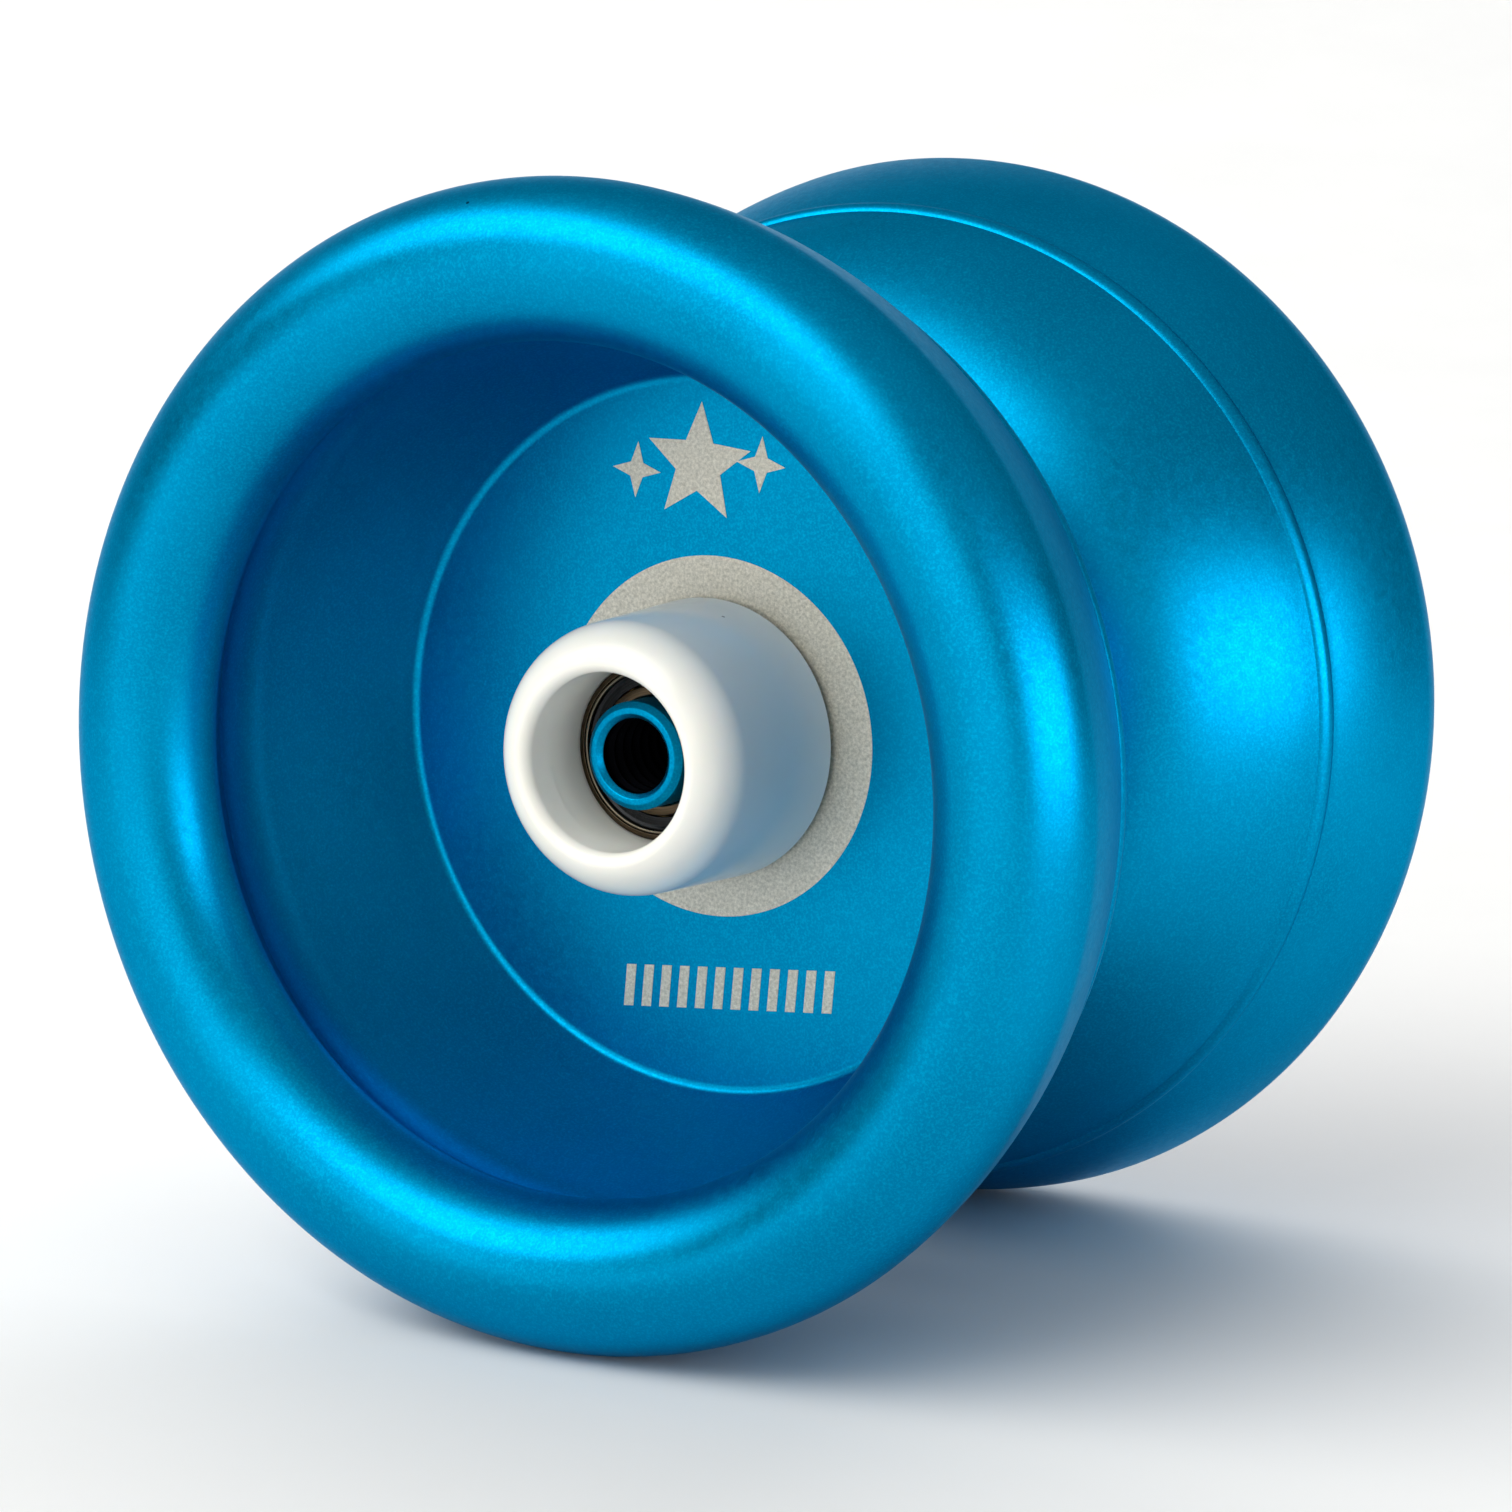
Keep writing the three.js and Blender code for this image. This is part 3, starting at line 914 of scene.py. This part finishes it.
def stack_outline():
    """Tapered outside, rounded crest, mouth, pocket for the bearing, and the lip below it."""
    corner = (STACK_TOP_R - STACK_ROUND, STACK_ROUND_DEPTH)
    stop = math.degrees(math.acos((STACK_CREST_R - corner[0]) / STACK_ROUND))
    outer = arc(corner, STACK_ROUND, STACK_ROUND, STACK_TAPER, stop, 24)
    crest = outer[-1][1]
    mouth = STACK_CREST_R - STACK_MOUTH_R
    inner = arc((STACK_CREST_R, crest - mouth), mouth, mouth, 90, 180, 14)
    base = rounded([
        (STACK_LIP_R, STACK_BASE + 1),
        (STACK_LIP_R, STACK_BASE, 0.1),
        (STACK_BASE_R, STACK_BASE, 0.22),
        outer[0],
    ])
    wide_r = STACK_MOUTH_R + STACK_MOUTH_STEP
    bore = rounded([
        inner[-1],
        (STACK_MOUTH_R, STACK_MOUTH_END),
        (wide_r, STACK_MOUTH_END - STACK_MOUTH_STEP),
        (wide_r, STACK_POCKET_TOP, 0.02),
        (STACK_POCKET_R, STACK_POCKET_TOP),
        (STACK_POCKET_R, STACK_POCKET_BOTTOM, 0.03),
        (STACK_LIP_R, STACK_POCKET_BOTTOM, 0.05),
        (STACK_LIP_R, STACK_BASE + 1),
    ])
    return base[1:-1] + outer + inner[1:] + bore[1:-1]


def make_stack(side, where):
    """White shell of a finger spinner."""
    shell = turned(f"stack_{where}_turned", supported(stack_outline()), [ACETAL], side,
                   segments=STACK_SEGMENTS)
    finish_piece(shell, "stack_" + where, "white_plastic", f"stack_{where}_shell")


# ---------------------------------------------------------------- setting

def direction(azimuth, elevation):
    """Unit vector from the object, in degrees round from the front and up from level."""
    az = math.radians(azimuth)
    el = math.radians(elevation)
    return Vector((math.sin(az) * math.cos(el), -math.cos(az) * math.cos(el), math.sin(el)))


def make_backdrop():
    """Pale floor that curves up behind the object, square to the camera's view."""
    floor_z = CAD_BOX[0][2]
    profile = [(FLOOR_NEAR, floor_z)]
    profile += arc((BEND_START, floor_z + BEND_RADIUS), BEND_RADIUS, BEND_RADIUS, -90, 0, 32)
    profile.append((BEND_START + BEND_RADIUS, floor_z + BACKDROP_HEIGHT))
    bm = bmesh.new()
    sides = (-FLOOR_WIDTH / 2, FLOOR_WIDTH / 2)
    rows = [[bm.verts.new((x, y, z)) for x in sides] for y, z in profile]
    for row, other in zip(rows, rows[1:]):
        bm.faces.new((row[0], row[1], other[1], other[0]))
    floor = new_object("backdrop", bm, [pale_floor()])
    floor.data.transform(Matrix.Rotation(math.radians(CAMERA_AZIMUTH), 4, "Z"))
    return floor


def make_camera():
    """A long lens on the object from the front, a little above it and to its right."""
    az = math.radians(CAMERA_AZIMUTH)
    back = direction(CAMERA_AZIMUTH, CAMERA_ELEVATION)
    right = Vector((math.cos(az), math.sin(az), 0))
    up = back.cross(right)
    data = bpy.data.cameras.new("camera")
    data.lens = CAMERA_LENS
    data.sensor_width = 36.0
    data.clip_start = 0.01
    data.clip_end = 20.0
    camera = bpy.data.objects.new("camera", data)
    bpy.context.scene.collection.objects.link(camera)
    place = right * AIM_RIGHT + up * AIM_UP + back * CAMERA_DISTANCE
    turn = Matrix((right, up, back)).transposed().to_4x4()
    camera.matrix_world = Matrix.Translation(place) @ turn
    bpy.context.scene.camera = camera


def softbox(name, azimuth, elevation, distance, width, height, radiance, colour):
    """A soft rectangular light that faces the object, of the given radiance whatever its size."""
    way = direction(azimuth, elevation)
    data = bpy.data.lights.new(name, "AREA")
    data.shape = "RECTANGLE"
    data.size = width
    data.size_y = height
    data.energy = radiance * math.pi * width * height
    data.color = colour
    light = bpy.data.objects.new(name, data)
    light.location = way * distance
    light.rotation_euler = way.to_track_quat("Z", "Y").to_euler()
    bpy.context.scene.collection.objects.link(light)
    return light


def light_only(light, pieces):
    """Lets the light fall on these pieces and on nothing else."""
    lit = bpy.data.collections.new(light.name + "_lit")
    for piece in pieces:
        lit.objects.link(piece)
    light.light_linking.receiver_collection = lit


def make_world(low, high):
    """Even light from all round: low at and below the horizon, high overhead."""
    world = bpy.data.worlds.new("studio")
    world.use_nodes = True
    tree = world.node_tree
    place = tree.nodes.new("ShaderNodeTexCoord")
    parts = tree.nodes.new("ShaderNodeSeparateXYZ")
    tree.links.new(place.outputs["Generated"], parts.inputs[0])
    climb = tree.nodes.new("ShaderNodeMapRange")
    climb.inputs["From Min"].default_value = 0.0
    climb.inputs["From Max"].default_value = 0.9
    climb.inputs["To Min"].default_value = low
    climb.inputs["To Max"].default_value = high
    tree.links.new(parts.outputs[2], climb.inputs["Value"])
    background = tree.nodes["Background"]
    background.inputs["Color"].default_value = (1.0, 1.0, 1.0, 1.0)
    tree.links.new(climb.outputs["Result"], background.inputs["Strength"])
    bpy.context.scene.world = world


def make_lights(halves, floor):
    """Window and fill in front, a small light at the right on the halves, one behind on the floor."""
    make_world(low=0.16, high=0.5)
    softbox("window", azimuth=-32, elevation=44, distance=0.9, width=1.25, height=0.48,
            radiance=3.5, colour=(1.0, 0.985, 0.93))
    softbox("fill", azimuth=-6, elevation=9, distance=1.1, width=1.4, height=0.5,
            radiance=1.65, colour=(1.0, 0.985, 0.93))
    right = softbox("right", azimuth=80, elevation=8, distance=0.25, width=0.26, height=0.10,
                    radiance=4.2, colour=(0.9, 0.97, 1.0))
    light_only(right, halves)
    behind = softbox("behind", azimuth=205, elevation=55, distance=1.1, width=1.6, height=0.7,
                     radiance=1.85, colour=(0.98, 0.99, 1.0))
    light_only(behind, [floor])
    bpy.context.scene.view_settings.view_transform = "Standard"


halves = []
for number, word in SIDES:
    halves.append(make_half(number, word))
    make_pad(number, word)
    make_marks(number, word)
    make_stack(number, word)
    make_bearing(STACK_BEARING, f"stack_{word}_bearing", number * STACK_BEARING_DEPTH, SHADED_RACE,
                 "halves", "stack_" + word, f"stack_{word}_cage")
make_bearing(MAIN_BEARING, "bearing", 0.0, RACE, "halves", "bearing_outer", "bearing_cage")
make_axle()
make_camera()
make_lights(halves, make_backdrop())
